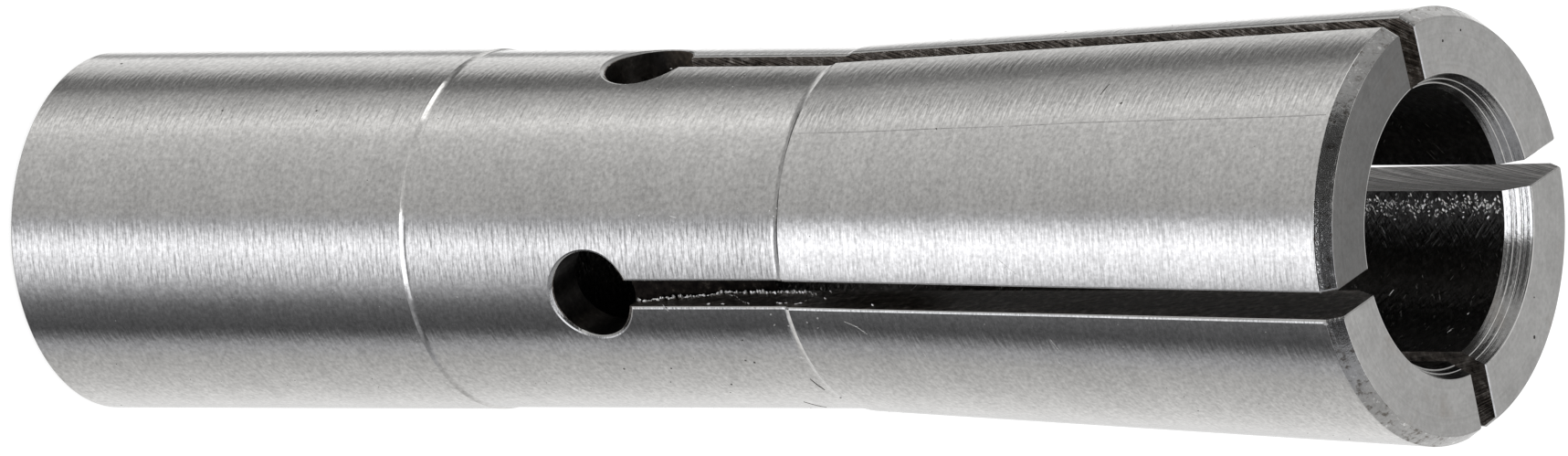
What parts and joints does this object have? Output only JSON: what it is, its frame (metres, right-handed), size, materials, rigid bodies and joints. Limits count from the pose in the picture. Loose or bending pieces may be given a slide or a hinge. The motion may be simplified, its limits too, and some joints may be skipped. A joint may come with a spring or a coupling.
{
  "type": "collet",
  "caption": "One-piece spring collet: plain ground shank, slim tapered head split by slots that start in round relief holes, and a countersunk gripping bore.",
  "frame": {"origin": "centre of the rear face, on the axis", "axes": "+Z along the axis, from the rear face towards the jaws; +X through the middle of one slot"},
  "size_m": [0.019, 0.019, 0.072],
  "materials": {
    "ground_steel": "hardened steel, ground round with fine marks across the axis"
  },
  "bodies": {
    "root": {"collet": "ground_steel"}
  },
  "joints": []
}
